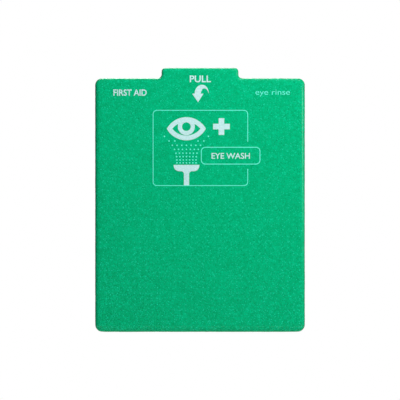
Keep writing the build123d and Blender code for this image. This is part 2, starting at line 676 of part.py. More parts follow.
def lead_heater_to_jack():
    x, hole = JACK_X + JACK_TAG_X, BAY_CENTRE - LEAD_RADIUS - LEAD_GAP
    return lead(
        [(x, INLET_Y, TAG_END), (x, INLET_Y, TAG_END + 7), (hole, SPREADER_FRONT - 8, GROMMET_Z),
         (hole, SPREADER_BACK, GROMMET_Z)],
        [5, 4],
    )


# ---- hinges

def barbed_peg(x, y, base):
    core = [(0, 0, 0), (PEG_RADIUS, 0, 0)]
    step = PEG_LENGTH / 4
    for turn in range(1, 4):
        low, high = turn * step - BARB_LENGTH / 2, turn * step + BARB_LENGTH / 2
        core += [(PEG_RADIUS, low, 0), (BARB_RADIUS, low, 0), (PEG_RADIUS, high, 0)]
    core += [(PEG_RADIUS - 1, PEG_LENGTH, 0), (0, PEG_LENGTH, 0)]
    return Pos(x, y, base) * turned(core)


def hinge_leaf(centre, direction, spans):
    """A moulded leaf with barbed pegs; spans are its knuckles along X."""
    low = LEAF_BOTTOM
    near = PARTING + direction * (KNUCKLE_RADIUS + LEAF_EDGE_GAP)
    far = PARTING + direction * LEAF_WIDTH
    room, wall = sorted((near, far))
    half = HINGE_LENGTH / 2
    leaf = block(centre - half, centre + half, room, wall, low, low + LEAF_THICKNESS)
    for left, right in spans:
        room, wall = sorted((PARTING, near + direction))
        leaf += block(left, right, room, wall, low, low + LEAF_THICKNESS)
        leaf += bar(KNUCKLE_RADIUS, PARTING, PIVOT_Z, left, right)
    leaf -= bar(PIN_RADIUS + PIN_CLEARANCE, PARTING, PIVOT_Z, centre - half - 1, centre + half + 1)
    for offset in (-PEG_SPACING / 2, PEG_SPACING / 2):
        leaf += barbed_peg(centre + offset, PARTING + direction * PEG_OFFSET, low + LEAF_THICKNESS)
    return leaf


def case_hinge_leaf(centre):
    half, third = HINGE_LENGTH / 2, HINGE_LENGTH / 6
    return hinge_leaf(centre, 1, [(centre - half, centre - third), (centre + third, centre + half)])


def lid_hinge_leaf(centre):
    third = HINGE_LENGTH / 6
    return hinge_leaf(centre, -1, [(centre - third + KNUCKLE_GAP, centre + third - KNUCKLE_GAP)])


def hinge_pin(centre):
    half = HINGE_LENGTH / 2
    return bar(PIN_RADIUS, PARTING, PIVOT_Z, centre - half, centre + half)


# ---- bottles

def bottle_outline(bottle, inset):
    """The bottle's profile, brought inwards by inset."""
    r, neck = bottle.radius - inset, bottle.neck_radius - inset
    shoulder_top = bottle.body + bottle.shoulder
    return [
        (0, inset, 0),
        (r, inset, bottle.base_rounding),
        (r, bottle.body, bottle.shoulder_rounding),
        (neck, shoulder_top, bottle.neck_rounding),
    ]


def bottle_body(bottle):
    top = bottle.body + bottle.shoulder + bottle.collar - bottle.mouth_drop
    neck, bore = bottle.neck_radius, bottle.neck_radius - bottle.wall
    outer = turned(bottle_outline(bottle, 0) + [(neck, top, 0), (0, top, 0)])
    inner = turned(bottle_outline(bottle, bottle.wall) + [(bore, top + 1, 0), (0, top + 1, 0)])
    return Pos(bottle.x, bottle.y, FOOT) * (outer - inner)


def saline(bottle):
    """The rinse, filled to just below the neck's mouth."""
    level = bottle.body + bottle.shoulder + bottle.collar / 4
    inset = bottle.wall + bottle.saline_gap
    bore = bottle.neck_radius - inset
    outline = bottle_outline(bottle, inset) + [(bore, level, 0), (0, level, 0)]
    return Pos(bottle.x, bottle.y, FOOT) * turned(outline)


def cup_level(bottle, above=0.0):
    """A height given from the underside of the eye cup's collar."""
    return FOOT + bottle.body + bottle.shoulder + COLLAR_LIFT + above


def eye_cup(bottle):
    bore = bottle.neck_radius + bottle.thread_gap
    throat = bottle.cup_radius * bottle.throat_share
    collar, neck_top = bottle.collar, bottle.collar - bottle.throat_wall
    height = bottle.cup_height
    wall = bottle.cup_wall
    flare = collar + bottle.bowl * 0.45
    inside = bottle.cup_radius - wall
    cup = turned([
        (bore, 0, 0), (bottle.collar_radius, 0, 0.8), (bottle.collar_radius, collar, 1.5),
        (bottle.cup_radius, flare, 3), (bottle.cup_radius, height, 0.6), (inside, height, 0.6),
        (inside, flare + 1, 3), (throat, collar + bottle.throat_wall, 1), (throat, neck_top, 0),
        (bore, neck_top, 0),
    ])
    grip = post(bottle.grip_radius, bottle.collar_radius, 0, 1.5, neck_top)
    for turn in range(bottle.grips):
        cup += Rot(0, 0, turn * 360 / bottle.grips) * grip
    axis = height - bottle.hinge_drop
    lug_top = height - bottle.hinge_drop + bottle.seat_gap
    for side in (-1, 1):
        low, high = sorted((side * bottle.lug_inner, side * bottle.lug_outer))
        cup += block(-bottle.ear, -bottle.cup_radius + wall / 2, low, high, height - bottle.lug_depth, lug_top)
        cup += peg(bottle.knuckle_radius, -bottle.ear, axis, high, low)
    cup -= flip_pin_bore(bottle, axis)
    return Pos(bottle.x, bottle.y, cup_level(bottle)) * cup


def flip_pin_bore(bottle, level):
    reach = bottle.lug_outer + 1
    return peg(bottle.pin_radius + PIN_CLEARANCE, -bottle.ear, level, reach, -reach)


def flip_axis(bottle):
    """Centre of the flip lid's hinge."""
    height = bottle.cup_height - bottle.hinge_drop
    return bottle.x - bottle.ear, bottle.y, cup_level(bottle, height)


def spray_insert(bottle):
    throat = bottle.cup_radius * bottle.throat_share - BORE_GAP / 2
    hole = Cylinder(bottle.spray_hole_radius, bottle.insert_thickness + 1)
    disc = Cylinder(throat, bottle.insert_thickness) - hole
    for turn in range(bottle.spray_holes):
        disc -= Rot(0, 0, turn * 360 / bottle.spray_holes) * Pos(throat * 0.6, 0, 0) * hole
    return Pos(bottle.x, bottle.y, cup_level(bottle, bottle.collar)) * disc


def flip_lid(bottle):
    rim = cup_level(bottle, bottle.cup_height) + bottle.seat_gap
    inner = bottle.cup_radius - bottle.cup_wall - bottle.plug_gap
    depth, half = bottle.plug_depth, bottle.arm_half_width
    disc = Pos(0, 0, bottle.lid_thickness / 2) * Cylinder(bottle.lid_radius, bottle.lid_thickness)
    disc = fillet(disc.edges().sort_by(Axis.Z)[-1], 0.6)
    plug = Pos(0, 0, -depth / 2) * (Cylinder(inner, depth) - Cylinder(inner - bottle.plug_wall, depth + 2))
    nib_half, nib_end = bottle.nib_half_width, bottle.lid_radius + bottle.nib
    nib = block(bottle.lid_radius - 2, nib_end, -nib_half, nib_half, 0, bottle.lid_thickness)
    drop = flip_axis(bottle)[2] - rim
    arm = block(-bottle.ear, -bottle.lid_radius + 2, -half, half, 0, bottle.lid_thickness)
    lid = disc + plug + nib + arm + peg(bottle.knuckle_radius, -bottle.ear, drop, half, -half)
    lid -= flip_pin_bore(bottle, drop)
    return Pos(bottle.x, bottle.y, rim) * lid


def flip_pin(bottle):
    x, y, z = flip_axis(bottle)
    return peg(bottle.pin_radius, x, z, y + bottle.lug_outer, y - bottle.lug_outer)


def gather(maker, places):
    """Identical pieces kept as separate solids of one node."""
    return Compound([maker(*place) for place in places])


parts = {
    "wall_plate": wall_plate(),
    "hanging_studs": gather(hanging_stud, STUD_POINTS),
    "case_bracket": case_bracket(),
    "back_shell": back_shell(),
    "front_lid": front_lid(),
    "lower_cradle": cradle(LOWER_CRADLE),
    "upper_cradle": cradle(UPPER_CRADLE),
    "heat_spreader": heat_spreader(),
    "heating_foil": heating_foil(),
    "clamp_screws": gather(clamp_screw, CLAMP_POINTS),
    "clamp_washers": gather(clamp_washer, CLAMP_POINTS),
    "spacer_sleeves": gather(spacer_sleeve, CLAMP_POINTS),
    "clinch_nuts": gather(clinch_nut, CLAMP_POINTS),
    "thermostat_flange": thermostat_flange(),
    "thermostat": thermostat(),
    "thermostat_tags": gather(thermostat_tag, [(-1,), (1,)]),
    "thermostat_rivets": gather(thermostat_rivet, [(-1,), (1,)]),
    "lead_grommet": lead_grommet(),
    "inlet_panel": inlet_panel(),
    "power_jack": power_jack(),
    "jack_contacts": jack_contacts(),
    "jack_nut": jack_nut(),
    "indicator_lamp": indicator_lamp(),
    "indicator_lens": indicator_lens(),
    "lead_jack_to_thermostat": lead_jack_to_thermostat(),
    "lead_thermostat_to_heater": lead_thermostat_to_heater(),
    "lead_heater_to_jack": lead_heater_to_jack(),
}
for side, name in ((-1, "left"), (1, "right")):
    parts[f"case_hinge_leaf_{name}"] = case_hinge_leaf(side * HINGE_X)
    parts[f"lid_hinge_leaf_{name}"] = lid_hinge_leaf(side * HINGE_X)
    parts[f"hinge_pin_{name}"] = hinge_pin(side * HINGE_X)
for bottle in (LARGE, SMALL):
    parts[f"bottle_{bottle.name}"] = bottle_body(bottle)
    parts[f"saline_{bottle.name}"] = saline(bottle)
    parts[f"eye_cup_{bottle.name}"] = eye_cup(bottle)
    parts[f"spray_insert_{bottle.name}"] = spray_insert(bottle)
    parts[f"flip_lid_{bottle.name}"] = flip_lid(bottle)
    parts[f"flip_pin_{bottle.name}"] = flip_pin(bottle)

os.makedirs("parts", exist_ok=True)
for name, shape in parts.items():
    export_step(shape, f"parts/{name}.step")
print(f"box {BOX_WIDTH:.2f} x {BOX_HEIGHT:.2f}, tab top {TOP + TAB_HEIGHT:.2f}, front {FRONT:.2f}")
print(f"lid pivot y {PARTING:.2f} z {PIVOT_Z:.2f}")
for bottle in (LARGE, SMALL):
    print(bottle.name, "flip lid axis", [round(value, 3) for value in flip_axis(bottle)])
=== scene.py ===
import math

import bpy
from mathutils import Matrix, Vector


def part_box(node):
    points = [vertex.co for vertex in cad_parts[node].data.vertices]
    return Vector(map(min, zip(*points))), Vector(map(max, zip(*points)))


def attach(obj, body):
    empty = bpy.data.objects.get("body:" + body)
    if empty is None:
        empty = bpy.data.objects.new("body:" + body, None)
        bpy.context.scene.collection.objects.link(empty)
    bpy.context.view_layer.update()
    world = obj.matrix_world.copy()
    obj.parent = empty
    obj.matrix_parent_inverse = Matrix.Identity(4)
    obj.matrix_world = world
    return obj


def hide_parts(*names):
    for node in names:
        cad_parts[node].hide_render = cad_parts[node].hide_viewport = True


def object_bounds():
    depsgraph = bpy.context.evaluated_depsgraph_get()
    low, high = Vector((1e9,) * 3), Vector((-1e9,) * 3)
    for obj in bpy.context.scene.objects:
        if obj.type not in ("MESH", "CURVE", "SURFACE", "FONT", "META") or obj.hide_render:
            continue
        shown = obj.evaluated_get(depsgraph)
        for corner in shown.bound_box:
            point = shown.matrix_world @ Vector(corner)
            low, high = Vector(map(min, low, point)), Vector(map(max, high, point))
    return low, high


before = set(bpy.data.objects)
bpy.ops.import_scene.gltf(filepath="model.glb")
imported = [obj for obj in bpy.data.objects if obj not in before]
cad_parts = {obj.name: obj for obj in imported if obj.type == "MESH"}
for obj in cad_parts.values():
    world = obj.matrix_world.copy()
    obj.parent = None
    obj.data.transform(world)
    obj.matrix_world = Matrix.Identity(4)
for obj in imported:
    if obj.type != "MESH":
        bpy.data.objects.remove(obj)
cadLow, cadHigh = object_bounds()
mm = 0.001
print("frame loaded", len(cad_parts), "nodes")


# selecting, editing and finishing by hand

def deselectAll():
    bpy.ops.object.select_all(action="DESELECT")


def pick(piece):
    deselectAll()
    piece.select_set(True)
    bpy.context.view_layer.objects.active = piece


def applyModifier(piece, kind, **settings):
    pick(piece)
    modifier = piece.modifiers.new(kind.title(), kind)
    for key, value in settings.items():
        setattr(modifier, key, value)
    bpy.ops.object.modifier_apply(modifier=modifier.name)


def applyPlace(piece):
    pick(piece)
    bpy.ops.object.transform_apply(location=True, rotation=True, scale=True)


def smooth(piece, degrees=32):
    pick(piece)
    bpy.ops.object.shade_smooth_by_angle(angle=math.radians(degrees))


def startEditing(piece, action="SELECT"):
    pick(piece)
    bpy.ops.object.mode_set(mode="EDIT")
    bpy.ops.mesh.select_all(action=action)


def endEditing():
    bpy.ops.object.mode_set(mode="OBJECT")


def editOnly(piece, kind, test):
    # starts editing with only the vertices or the edges selected that pass the test
    startEditing(piece, "DESELECT")
    endEditing()
    for part in getattr(piece.data, kind):
        part.select = test(part)
    bpy.ops.object.mode_set(mode="EDIT")


def newest(pieceName):
    # what the last operator made
    piece = bpy.context.object
    piece.name = piece.data.name = pieceName
    return piece


def mergedCopy(nodeName, pieceName):
    # a welded copy of a node's loose triangles, which is then free to be worked on
    piece = bpy.data.objects.new(pieceName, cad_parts[nodeName].data.copy())
    bpy.context.scene.collection.objects.link(piece)
    piece.data.materials.clear()
    startEditing(piece)
    bpy.ops.mesh.remove_doubles(threshold=0.01 * mm)
    endEditing()
    return piece


def settle(piece, body, paint):
    # the last step for every new piece: its finish, its body and its slot
    piece.data.materials.clear()
    piece.data.materials.append(paint)
    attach(piece, body)
    return piece


# shader maths

class Wire:
    def __init__(self, paint, socket):
        self.paint = paint
        self.socket = socket

    def join(self, operation, first, second):
        return self.paint.maths(operation, first, second)

    def __add__(self, other):
        return self.join("ADD", self, other)

    def __radd__(self, other):
        return self.join("ADD", other, self)

    def __sub__(self, other):
        return self.join("SUBTRACT", self, other)

    def __rsub__(self, other):
        return self.join("SUBTRACT", other, self)

    def __mul__(self, other):
        return self.join("MULTIPLY", self, other)

    def __rmul__(self, other):
        return self.join("MULTIPLY", other, self)

    def __truediv__(self, other):
        return self.join("DIVIDE", self, other)

    def __rtruediv__(self, other):
        return self.join("DIVIDE", other, self)

    def __pow__(self, other):
        return self.join("POWER", self, other)

    def __rpow__(self, other):
        return self.join("POWER", other, self)

    def __lt__(self, other):
        return self.join("LESS_THAN", self, other)

    def __gt__(self, other):
        return self.join("GREATER_THAN", self, other)


class Paint:
    def __init__(self, name):
        self.material = bpy.data.materials.new(name)
        self.material.use_nodes = True
        self.tree = self.material.node_tree
        self.tree.nodes.clear()
        self.place = self.node("ShaderNodeTexCoord", output="Object")

    def node(self, kind, settings=None, sockets=None, output=0):
        made = self.tree.nodes.new(kind)
        for key, value in (settings or {}).items():
            if key == "stops":
                self.setStops(made.color_ramp, value)
            else:
                setattr(made, key, value)
        for key, value in (sockets or {}).items():
            if isinstance(value, Wire):
                self.tree.links.new(value.socket, made.inputs[key])
            else:
                made.inputs[key].default_value = value
        return Wire(self, made.outputs[output])

    def maths(self, operation, first, second=0.0):
        return self.node("ShaderNodeMath", {"operation": operation}, {0: first, 1: second})

    def setStops(self, ramp, stops):
        while len(ramp.elements) < len(stops):
            ramp.elements.new(0.5)
        for element, (position, value) in zip(ramp.elements, stops):
            element.position = position
            element.color = (value, value, value, 1)

    def ramp(self, value, *stops):
        return self.node("ShaderNodeValToRGB", {"stops": stops}, {0: value})

    def noise(self, size, detail=2.0, place=None, rough=0.5):
        sockets = {"Vector": place or self.place, "Scale": 1 / size, "Detail": detail, "Roughness": rough}
        return self.node("ShaderNodeTexNoise", None, sockets)

    def cells(self, size, feature="F1", place=None, output="Distance"):
        sockets = {"Vector": place or self.place, "Scale": 1 / size}
        return self.node("ShaderNodeTexVoronoi", {"feature": feature}, sockets, output)

    def axes(self, place=None):
        kind, sockets = "ShaderNodeSeparateXYZ", {0: place or self.place}
        first = self.node(kind, None, sockets)
        outputs = first.socket.node.outputs
        return Wire(self, outputs[0]), Wire(self, outputs[1]), Wire(self, outputs[2])

    def stretched(self, x, y, z):
        return self.node("ShaderNodeMapping", None, {"Vector": self.place, "Scale": (x, y, z)})

    def mix(self, amount, first, second):
        settings = {"data_type": "RGBA"}
        return self.node("ShaderNodeMix", settings, {0: amount, 6: colour(first), 7: colour(second)}, 2)

    def bump(self, height, depth, strength=1.0):
        return self.node("ShaderNodeBump", None, {"Height": height, "Distance": depth, "Strength": strength})

    def finish(self, **sockets):
        named = {key.replace("_", " "): colour(value) for key, value in sockets.items()}
        shader = self.node("ShaderNodeBsdfPrincipled", None, named)
        output = self.tree.nodes.new("ShaderNodeOutputMaterial")
        self.tree.links.new(shader.socket, output.inputs["Surface"])
        return self.material


def linear(value):
    value = value / 255
    return value / 12.92 if value <= 0.04045 else ((value + 0.055) / 1.055) ** 2.4


def colour(value):
    # three numbers from 0 to 255 are a colour as seen on a screen; anything else passes through
    if isinstance(value, tuple) and len(value) == 3:
        return (linear(value[0]), linear(value[1]), linear(value[2]), 1)
    return value


# finishes

foamLook = {
    "bead": 3.1 * mm, "seam": 0.17 * mm, "skin": 0.8 * mm, "wobble": 0.9 * mm,
    "cloud": 38 * mm, "speck": 0.95 * mm,
    "skinRise": 0.9, "ventRise": 0.5, "bumpStrength": 0.75,
    "ventPitch": 6.2 * mm, "ventDot": 0.60 * mm, "ventTop": 5 * mm, "ventDepth": 1.5 * mm, "ventFade": 9 * mm,
    "deep": (0, 152, 91), "mid": (0, 176, 114), "pale": (0, 187, 126),
    # the pale fleck tint and its threshold stand partly for real pale flecks and partly for glints, a painted
    # highlight
    "glintFleck": (34, 212, 164), "shadedPit": (0, 124, 72),
    # the pit tint and the pit threshold are painted shade for the skin's small pits
    "glintFleckAbove": 0.86, "shadedPitAbove": 0.90, "glintAbove": 0.96, "cover": 0.9,
    "roughness": 0.40, "skinRough": 0.25, "shine": 0.35, "dullShine": 0.05, "dullFoot": 6 * mm,
}


def foamBeads(paint):
    # fused beads: soft domes with shallow seams between them, and a sintered skin
    look = foamLook
    wobble = paint.noise(look["bead"] * 1.7, 1.0)
    bent = paint.node("ShaderNodeVectorMath", {"operation": "MULTIPLY_ADD"},
                      {0: wobble, 1: (look["wobble"],) * 3, 2: paint.place}, "Vector")
    seam = paint.cells(look["bead"], "DISTANCE_TO_EDGE", bent)
    shade = paint.cells(look["bead"], "F1", bent, "Color")
    skin = paint.noise(look["skin"], 3.0)
    return seam, paint.axes(shade)[0], skin


def foamVents(paint):
    # the dots that the mould's steam vents leave on the lower half of the face
    look = foamLook
    x, y, z = paint.axes()
    across = paint.maths("FRACT", x / look["ventPitch"]) - 0.5
    down = paint.maths("FRACT", z / look["ventPitch"]) - 0.5
    reach = (across * across + down * down) ** 0.5 * look["ventPitch"]
    faint = paint.ramp(paint.noise(look["ventFade"], 1.0), (0.42, 0.0), (0.58, 1.0))
    return (reach < look["ventDot"]) * (z < look["ventTop"]) * (y < cadLow.y + look["ventDepth"]) * faint


def foamHeight(paint, seam, skin, vents):
    dome = paint.ramp(seam, (0.0, 0.0), (0.12, 0.75), (0.5, 1.0))
    height = dome + (skin - 0.5) * foamLook["skinRise"] + vents * foamLook["ventRise"]
    return paint.bump(height, foamLook["seam"], foamLook["bumpStrength"])


def foamPaint(name):
    look = foamLook
    paint = Paint(name)
    seam, shade, skin = foamBeads(paint)
    vents = foamVents(paint)
    cloudy = paint.noise(look["cloud"], 2.0)
    speck = paint.cells(look["speck"], "F1", None, "Color")
    dot = paint.ramp(paint.cells(look["speck"]), (0.30, 1.0), (0.55, 0.0))
    first, second, third = paint.axes(speck)
    body = paint.mix(paint.ramp(shade, (0.1, 0.0), (0.9, 1.0)), look["deep"], look["pale"])
    body = paint.mix(0.6, body, look["mid"])
    body = paint.mix(paint.ramp(skin, (0.42, 0.0), (0.75, 0.55)), body, look["pale"])
    body = paint.mix(paint.ramp(cloudy, (0.35, 0.12), (0.65, 0.0)), body, look["deep"])
    # lighter flecks in random cells: partly real flecks, partly painted glints standing in for specular
    # sparkle
    body = paint.mix((first > look["glintFleckAbove"]) * dot * look["cover"], body, look["glintFleck"])
    # darker specks in random cells: painted shade standing in for the skin's small pits
    body = paint.mix((second > look["shadedPitAbove"]) * dot * look["cover"], body, look["shadedPit"])
    body = paint.mix(paint.ramp(seam, (0.0, 0.6), (0.10, 0.0)), body, look["deep"])
    body = paint.mix(vents * 0.6, body, look["glintFleck"])
    rough = look["roughness"] + (skin - 0.5 - (third > look["glintAbove"])) * look["skinRough"]
    bump = foamHeight(paint, seam, skin, vents)
    burnish = look["dullShine"] + look["shine"] * (paint.axes()[2] > cadLow.z + look["dullFoot"])
    return paint.finish(Base_Color=body, Roughness=rough, Normal=bump, Specular_IOR_Level=0.06,
                        Coat_Weight=burnish, Coat_Roughness=0.16)


inkLook = {"white": (204, 224, 218), "thin": (128, 208, 182), "mint": (92, 236, 204), "roughness": 0.6}


def inkPaint(name, tone):
    # pad-printed ink that sinks into the seams and misses a few pits
    paint = Paint(name)
    seam, _, skin = foamBeads(paint)
    body = paint.mix(paint.ramp(skin, (0.45, 0.0), (0.8, 0.55)), tone, inkLook["thin"])
    body = paint.mix(paint.ramp(seam, (0.0, 0.6), (0.05, 0.0)), body, inkLook["thin"])
    bump = foamHeight(paint, seam, skin, 0.0)
    rough = inkLook["roughness"] + (skin - 0.5) * 0.2
    return paint.finish(Base_Color=body, Roughness=rough, Normal=bump, Specular_IOR_Level=0.15)


zincLook = {"grain": 0.6 * mm, "spangle": 7 * mm, "scuff": 5 * mm, "depth": 0.02 * mm, "lift": 26,
            "roughness": 0.38, "grainRough": 0.14, "scuffRough": 0.10}


def zincPaint(name, tone, streak):
    # rolled sheet or turned steel under clear zinc, with faint spangle and handling marks
    look = zincLook
    paint = Paint(name)
    grain = paint.noise(look["grain"], 4.0, paint.stretched(*streak))
    spangle = paint.cells(look["spangle"], "F1", None, "Color")
    scuff = paint.ramp(paint.noise(look["scuff"], 6.0), (0.58, 0.0), (0.66, 1.0))
    pale = tuple(min(255, part + look["lift"]) for part in tone)
    body = paint.mix(paint.axes(spangle)[0] * 0.35, tone, pale)
    body = paint.mix(grain * 0.4, body, pale)
    rough = look["roughness"] + grain * look["grainRough"] + scuff * look["scuffRough"]
    bump = paint.bump(grain + scuff * 0.3, look["depth"], 0.5)
    return paint.finish(Base_Color=body, Metallic=1.0, Roughness=rough, Normal=bump)


def paler(tone, share):
    return tuple(int(part + (255 - part) * share) for part in tone)


mouldedLook = {"dust": 14 * mm, "dusty": 0.12, "dustRough": 0.1, "grainRough": 0.08}


def mouldedPaint(name, tone, roughness, grain=0.5 * mm, depth=0.03 * mm, **more):
    # injection-moulded plastic or rubber with a fine spark texture and a little dust
    paint = Paint(name)
    texture = paint.noise(grain, 3.0)
    dust = paint.ramp(paint.noise(mouldedLook["dust"], 4.0), (0.5, 0.0), (0.8, 1.0))
    body = paint.mix(dust * 0.5 + texture * 0.2, tone, paler(tone, mouldedLook["dusty"]))
    rough = roughness + dust * mouldedLook["dustRough"] + (texture - 0.5) * mouldedLook["grainRough"]
    return paint.finish(Base_Color=body, Roughness=rough, Normal=paint.bump(texture, depth, 0.5), **more)


clearLook = {"flow": 9 * mm, "draw": 0.35, "milky": 0.4, "depth": 0.25 * mm, "strength": 0.35,
             "flowRough": 0.08}


def clearPaint(name, tone, roughness, through, ior):
    # milky blown bottle plastic, or the liquid in it
    look = clearLook
    paint = Paint(name)
    flow = paint.noise(look["flow"], 2.0, paint.stretched(1, 1, look["draw"]))
    body = paint.mix(flow * 0.5, tone, paler(tone, look["milky"]))
    rough = roughness + (flow - 0.5) * look["flowRough"]
    bump = paint.bump(flow, look["depth"], look["strength"])
    return paint.finish(Base_Color=body, Roughness=rough, Normal=bump, Transmission_Weight=through, IOR=ior)


filmLook = {"pitch": 6 * mm, "halfTrace": 0.22, "ripple": 12 * mm, "depth": 0.1 * mm, "roughness": 0.28,
            "film": (204, 112, 24), "trace": (150, 86, 40)}


def filmPaint(name):
    # orange polyimide film with etched meander traces
    look = filmLook
    paint = Paint(name)
    run = paint.maths("FRACT", paint.axes()[2] / look["pitch"])
    trace = paint.maths("ABSOLUTE", run - 0.5) < look["halfTrace"]
    ripple = paint.noise(look["ripple"], 2.0)
    body = paint.mix(trace * 0.75, look["film"], look["trace"])
    rough = look["roughness"] + ripple * 0.1
    bump = paint.bump(ripple + trace * 0.2, look["depth"], 0.4)
    return paint.finish(Base_Color=body, Metallic=trace * 0.4, Roughness=rough, Normal=bump)


paperLook = {"fibre": 0.35 * mm, "depth": 0.01 * mm, "shade": 0.9, "roughness": 0.42}


def paperPaint(name, tone):
    paint = Paint(name)
    fibre = paint.noise(paperLook["fibre"], 4.0)
    body = paint.mix(fibre * 0.3, tone, tuple(int(part * paperLook["shade"]) for part in tone))
    rough = paperLook["roughness"] + fibre * 0.1
    return paint.finish(Base_Color=body, Roughness=rough, Normal=paint.bump(fibre, paperLook["depth"], 0.4))


lampLook = {"facet": 1.1 * mm, "depth": 0.1 * mm, "roughness": 0.15, "glow": 0.8,
            "deep": (36, 190, 90), "bright": (150, 240, 170)}


def lampPaint(name):
    # pressed facets in a small green lens, lit from inside
    look = lampLook
    paint = Paint(name)
    facet = paint.cells(look["facet"])
    body = paint.mix(facet, look["deep"], look["bright"])
    rough = look["roughness"] + facet * 0.1
    bump = paint.bump(facet, look["depth"], 0.6)
    return paint.finish(Base_Color=body, Roughness=rough, Normal=bump,
                        Emission_Color=body, Emission_Strength=look["glow"])


foamGreen = foamPaint("foamGreen")
inkWhite = inkPaint("inkWhite", inkLook["white"])
inkMint = inkPaint("inkMint", inkLook["mint"])
plateZinc = zincPaint("plateZinc", (204, 208, 210), (1, 1, 0.08))
fastenerZinc = zincPaint("fastenerZinc", (158, 160, 162), (1, 1, 1))
rolledAluminium = zincPaint("rolledAluminium", (206, 208, 210), (0.05, 1, 1))
heaterFilm = filmPaint("heaterFilm")
blackPlastic = mouldedPaint("blackPlastic", (30, 30, 32), 0.48)
hingeNylon = mouldedPaint("hingeNylon", (24, 25, 26), 0.42, 0.7 * mm)
thermostatBlack = mouldedPaint("thermostatBlack", (36, 30, 28), 0.35)
softRubber = mouldedPaint("softRubber", (22, 22, 22), 0.7, 0.4 * mm, 0.05 * mm)
tinnedTags = zincPaint("tinnedTags", (200, 192, 170), (1, 1, 1))
leadRed = mouldedPaint("leadRed", (168, 28, 26), 0.45, 0.8 * mm, 0.02 * mm)
leadBlack = mouldedPaint("leadBlack", (28, 28, 30), 0.45, 0.8 * mm, 0.02 * mm)
leadWhite = mouldedPaint("leadWhite", (214, 212, 204), 0.45, 0.8 * mm, 0.02 * mm)
cupGreen = mouldedPaint("cupGreen", (20, 148, 92), 0.32, 0.4 * mm, 0.01 * mm, Coat_Weight=0.2)
dustLidGreen = mouldedPaint("dustLidGreen", (12, 128, 78), 0.28, 0.4 * mm, 0.01 * mm, Coat_Weight=0.2)
insertWhite = mouldedPaint("insertWhite", (228, 228, 224), 0.4)
bottleClear = clearPaint("bottleClear", (232, 241, 240), 0.30, 0.42, 1.5)
salineClear = clearPaint("salineClear", (232, 246, 248), 0.04, 1.0, 1.33)
labelWhite = paperPaint("labelWhite", (240, 242, 238))
labelGreen = paperPaint("labelGreen", (0, 132, 84))
lampGreen = lampPaint("lampGreen")
floorPale = mouldedPaint("floorPale", (232, 233, 232), 0.7, 3 * mm, 0.02 * mm,
                         Emission_Color=(232, 233, 232), Emission_Strength=0.10)
print("finishes mixed")


# foam mouldings: the shells are worked up from the welded solids, so the beads show at their edges

foamWork = {
    # the node that each moulding replaces: its name, its body and its voxel size
    "mouldings": {
        "front_lid": ("lidFoam", "lid", 1.7 * mm),
        "back_shell": ("caseFoam", "case", 1.9 * mm),
        "lower_cradle": ("lowerCradleFoam", "case", 1.5 * mm),
        "upper_cradle": ("upperCradleFoam", "case", 1.5 * mm),
    },
    "softReach": 8 * mm, "softRounds": 10,
    "beadDepth": 0.22 * mm, "beadSize": 3.2 * mm, "sagDepth": 0.35 * mm, "sagSize": 26 * mm,
}


def foamTexture(name, kind, size):
    texture = bpy.data.textures.new(name, kind)
    texture.noise_scale = size
    return texture


def softenFront(piece):
    # eases the round between the lid's face and its sides, as steam-moulded skin does
    reach = foamWork["softReach"]

    def inReach(vertex):
        x, y, z = vertex.co
        beside = abs(x) > cadHigh.x - reach and z < lidTop - reach
        return y < cadLow.y + reach and (beside or z < cadLow.z + reach)

    editOnly(piece, "vertices", inReach)
    bpy.ops.mesh.vertices_smooth(factor=0.5, repeat=foamWork["softRounds"])
    endEditing()


def workFoam(nodeName, pieceName, body, voxel):
    # both displacements go inwards, so the moulding stays within its solid
    piece = mergedCopy(nodeName, pieceName)
    applyModifier(piece, "REMESH", mode="VOXEL", voxel_size=voxel, use_smooth_shade=True)
    softenFront(piece)
    applyModifier(piece, "DISPLACE", texture=foamSag, texture_coords="LOCAL", mid_level=1.0,
                  strength=foamWork["sagDepth"])
    applyModifier(piece, "DISPLACE", texture=foamBead, texture_coords="LOCAL", mid_level=0.0,
                  strength=-foamWork["beadDepth"])
    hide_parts(nodeName)
    return settle(piece, body, foamGreen)


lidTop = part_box("back_shell")[1][2]
foamSag = foamTexture("foamSag", "CLOUDS", foamWork["sagSize"])
foamBead = foamTexture("foamBead", "VORONOI", foamWork["beadSize"])
for nodeName, (pieceName, body, voxel) in foamWork["mouldings"].items():
    piece = workFoam(nodeName, pieceName, body, voxel)
    print(pieceName, len(piece.data.polygons), "faces")


# pad printing on the lid's face: every print is a thin solid set into the skin of the foam

inkWork = {"depth": 0.8 * mm, "sunk": 0.02 * mm, "curveSteps": 12, "letterSteps": 6, "cornerSteps": 8}
inkFace = cadLow.y + inkWork["sunk"]
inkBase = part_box("back_shell")[0][2]  # heights of the prints are counted from the underside of the box


def at(x, z):
    return Vector((x * mm, inkFace, inkBase + z * mm))


def facingPlane(pieceName, left, right, low, high):
    # a flat sheet that looks towards the room
    deselectAll()
    middle = at((left + right) / 2, (low + high) / 2)
    bpy.ops.mesh.primitive_plane_add(size=1, location=middle, rotation=(math.radians(90), 0, 0))
    piece = newest(pieceName)
    piece.scale = ((right - left) * mm, (high - low) * mm, 1)
    applyPlace(piece)
    return piece


def roundCorners(piece, radius, below=math.inf):
    editOnly(piece, "vertices", lambda vertex: vertex.co.z < below)
    bpy.ops.mesh.bevel(offset=radius, segments=inkWork["cornerSteps"], affect="VERTICES")
    endEditing()


def openFrame(piece, line):
    # insets the outline by the line's width and takes the middle out
    startEditing(piece)
    bpy.ops.mesh.inset(thickness=line)
    bpy.ops.mesh.delete(type="FACE")
    endEditing()


def thicken(piece, depth=inkWork["depth"], offset=-1.0):
    applyModifier(piece, "SOLIDIFY", thickness=depth, offset=offset)


def cut(piece, cutter, operation="DIFFERENCE"):
    applyModifier(piece, "BOOLEAN", object=cutter, operation=operation, solver="EXACT")
    bpy.data.objects.remove(cutter)


def ink(piece, paint=inkWhite):
    return settle(piece, "lid", paint)


